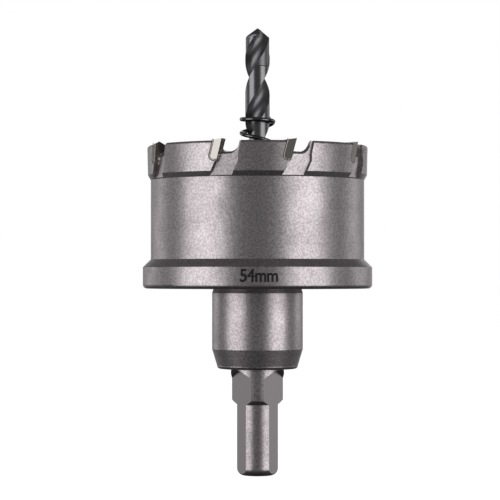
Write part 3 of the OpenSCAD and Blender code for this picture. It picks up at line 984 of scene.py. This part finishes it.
# The walls' brightness from the backdrop to behind the camera, then how far up and down they
# reach, and what is seen above and below them
walls = add_node(tree, "ValToRGB", links={"Fac": frontness.outputs["Result"]})
set_stops(walls.color_ramp, (
    (0.0, 1.0), (BACKDROP_EDGE, 1.0), (0.02, 0.36), (0.04, 0.29), (0.08, 0.31), (0.14, 0.57),
    (0.19, 0.8), (0.27, 0.7), (0.325, 0.22), (0.36, 0.17), (0.46, 0.195), (0.55, 0.18),
    (0.85, 0.145), (1.0, 0.132),
))
wall_reach = add_node(tree, "ValToRGB", links={"Fac": height.outputs["Result"]})
wall_reach.color_ramp.interpolation = "EASE"
set_stops(wall_reach.color_ramp, ((0.36, 0.0), (0.46, 1.0), (0.62, 1.0), (0.73, 0.0)))
past_walls = add_node(tree, "ValToRGB", links={"Fac": height.outputs["Result"]})
set_stops(past_walls.color_ramp, (
    (0.0, 0.015), (0.1, 0.03), (0.19, 0.055), (0.25, 0.078), (0.6, 0.085), (0.75, 0.1),
))
room = add_node(
    tree, "Mix", {"data_type": "RGBA"},
    {0: wall_reach.outputs["Color"], 6: past_walls.outputs["Color"], 7: walls.outputs["Color"]},
)
# Metal and glass see the white backdrop too, where it stands
behind = add_node(
    tree, "Math",
    {"operation": "LESS_THAN", 1: BACKDROP_EDGE},
    {0: frontness.outputs["Result"]},
)
rays = add_node(tree, "LightPath")
mirrored = add_node(
    tree, "Math", {"operation": "MAXIMUM"},
    {0: rays.outputs["Is Glossy Ray"], 1: rays.outputs["Is Transmission Ray"]},
)
backdrop = add_node(
    tree, "Math", {"operation": "MULTIPLY"}, {0: behind.outputs[0], 1: wall_reach.outputs["Color"]}
)
mirrored_there = add_node(
    tree, "Math", {"operation": "MULTIPLY"}, {0: mirrored.outputs[0], 1: backdrop.outputs[0]}
)
sees_white = add_node(
    tree, "Math", {"operation": "MAXIMUM"},
    {0: rays.outputs["Is Camera Ray"], 1: mirrored_there.outputs[0]},
)
sky = add_node(
    tree, "Mix",
    {"data_type": "RGBA", 7: (1.0, 1.0, 1.0, 1.0)},
    {0: sees_white.outputs[0], 6: room.outputs[2]},
)
background = add_node(tree, "Background", {"Strength": 1.0}, {"Color": sky.outputs[2]})
add_node(tree, "OutputWorld", links={"Surface": background.outputs["Background"]})
print("world:", len(tree.nodes), "nodes")

# %% [markdown]
# ## The soft boxes
#
# A soft box is a lamp behind a large white cloth. An upright rectangular area lamp does the
# same, and each cylinder mirrors it as one upright band. Its width sets how wide the band is,
# its brightness how near to white the band comes, and its azimuth where on the tool it falls.
# A cylinder turns the mirrored direction twice as fast as its own surface, so a lamp at 50
# degrees shows on the part of the tool that faces 25 degrees.

# %% The soft boxes
TARGET = Vector((0, 0, 50)) * MM
BOX_AWAY = 0.66
BOX_HEIGHT = 0.54
BOX_LIFT = 0.05


def soft_box(name, azimuth_deg, width, brightness):
    """An area lamp that faces the tool. The azimuth is counted from the camera, to the right."""
    lamp = bpy.data.lights.new(name, "AREA")
    lamp.shape = "RECTANGLE"
    lamp.size, lamp.size_y = width, BOX_HEIGHT
    # A rectangle of this power shines with the given brightness, where 1 is paper white
    lamp.energy = brightness * 4 * width * BOX_HEIGHT
    box = put_in_scene(name, lamp)
    a = math.radians(azimuth_deg)
    box.location = TARGET + Vector((math.sin(a) * BOX_AWAY, -math.cos(a) * BOX_AWAY, BOX_LIFT))
    flat = Vector((box.location.x, box.location.y, 0))
    box.rotation_mode = "QUATERNION"
    box.rotation_quaternion = flat.to_track_quat("Z", "Y")
    box.visible_camera = False
    print(name, "at", [round(v, 3) for v in box.location], "with", round(lamp.energy, 2), "W")


soft_box("left_soft_box", azimuth_deg=-57, width=0.55, brightness=1.1)
soft_box("right_soft_box", azimuth_deg=52, width=0.50, brightness=1.14)

# %% [markdown]
# ## The floor
#
# The tool stands on its shank's end on a white floor. For the camera the floor is white and
# still shows the soft shadow where the tool stands. It lets the lamps through from below, as a
# glass table over a dark cloth would, since the photograph has the tall boxes mirrored right
# down to the end of the shank.

# %% The floor
FLOOR_HALF = 4.0
FLOOR_GLOW = 0.93

floor_mesh = bpy.data.meshes.new("studio_floor")
signs = [(-1, -1), (1, -1), (1, 1), (-1, 1)]
corners = [(x * FLOOR_HALF, y * FLOOR_HALF, 0) for x, y in signs]
floor_mesh.from_pydata(corners, [], [(0, 1, 2, 3)])
floor = put_in_scene("studio_floor", floor_mesh)
white_floor = bpy.data.materials.new("white_studio_floor")
white_floor.use_nodes = True
tree = white_floor.node_tree
tree.nodes.clear()
rays = add_node(tree, "LightPath")
matt = add_node(tree, "BsdfDiffuse", {"Color": from_hex("#E6E6E6")})
glow_strength = add_node(
    tree, "Math", {"operation": "MULTIPLY", 1: FLOOR_GLOW}, {0: rays.outputs["Is Camera Ray"]}
)
glow = add_node(tree, "Emission", links={"Strength": glow_strength.outputs[0]})
both = add_node(tree, "AddShader", links={0: matt.outputs["BSDF"], 1: glow.outputs["Emission"]})
add_node(tree, "OutputMaterial", links={"Surface": both.outputs["Shader"]})
floor_mesh.materials.append(white_floor)
floor.visible_glossy = False
floor.visible_shadow = False
print("floor:", 2 * FLOOR_HALF, "m square")

# %% [markdown]
# ## The camera
#
# The photograph was taken from half a metre with a long lens, level with the middle of the
# arbor. The distance and height follow from how the rims of the cup and the flange bow, and
# the aim puts the tool where it stands in the frame.

# %% The camera
LENS_MM = 151.7
CAMERA_AT = Vector((0, -515, 48.85)) * MM
AIM_AT = Vector((-1.83, 0, 54.96)) * MM

lens_data = bpy.data.cameras.new("camera")
lens_data.sensor_width = 36
lens_data.lens = LENS_MM
lens_data.clip_start = 0.01
camera = put_in_scene("camera", lens_data)
camera.location = CAMERA_AT
camera.rotation_mode = "QUATERNION"
camera.rotation_quaternion = (AIM_AT - CAMERA_AT).to_track_quat("-Z", "Y")
scene.camera = camera
scene.view_settings.view_transform = "Standard"
print("camera at", [round(v * 1000, 1) for v in camera.location], "mm")
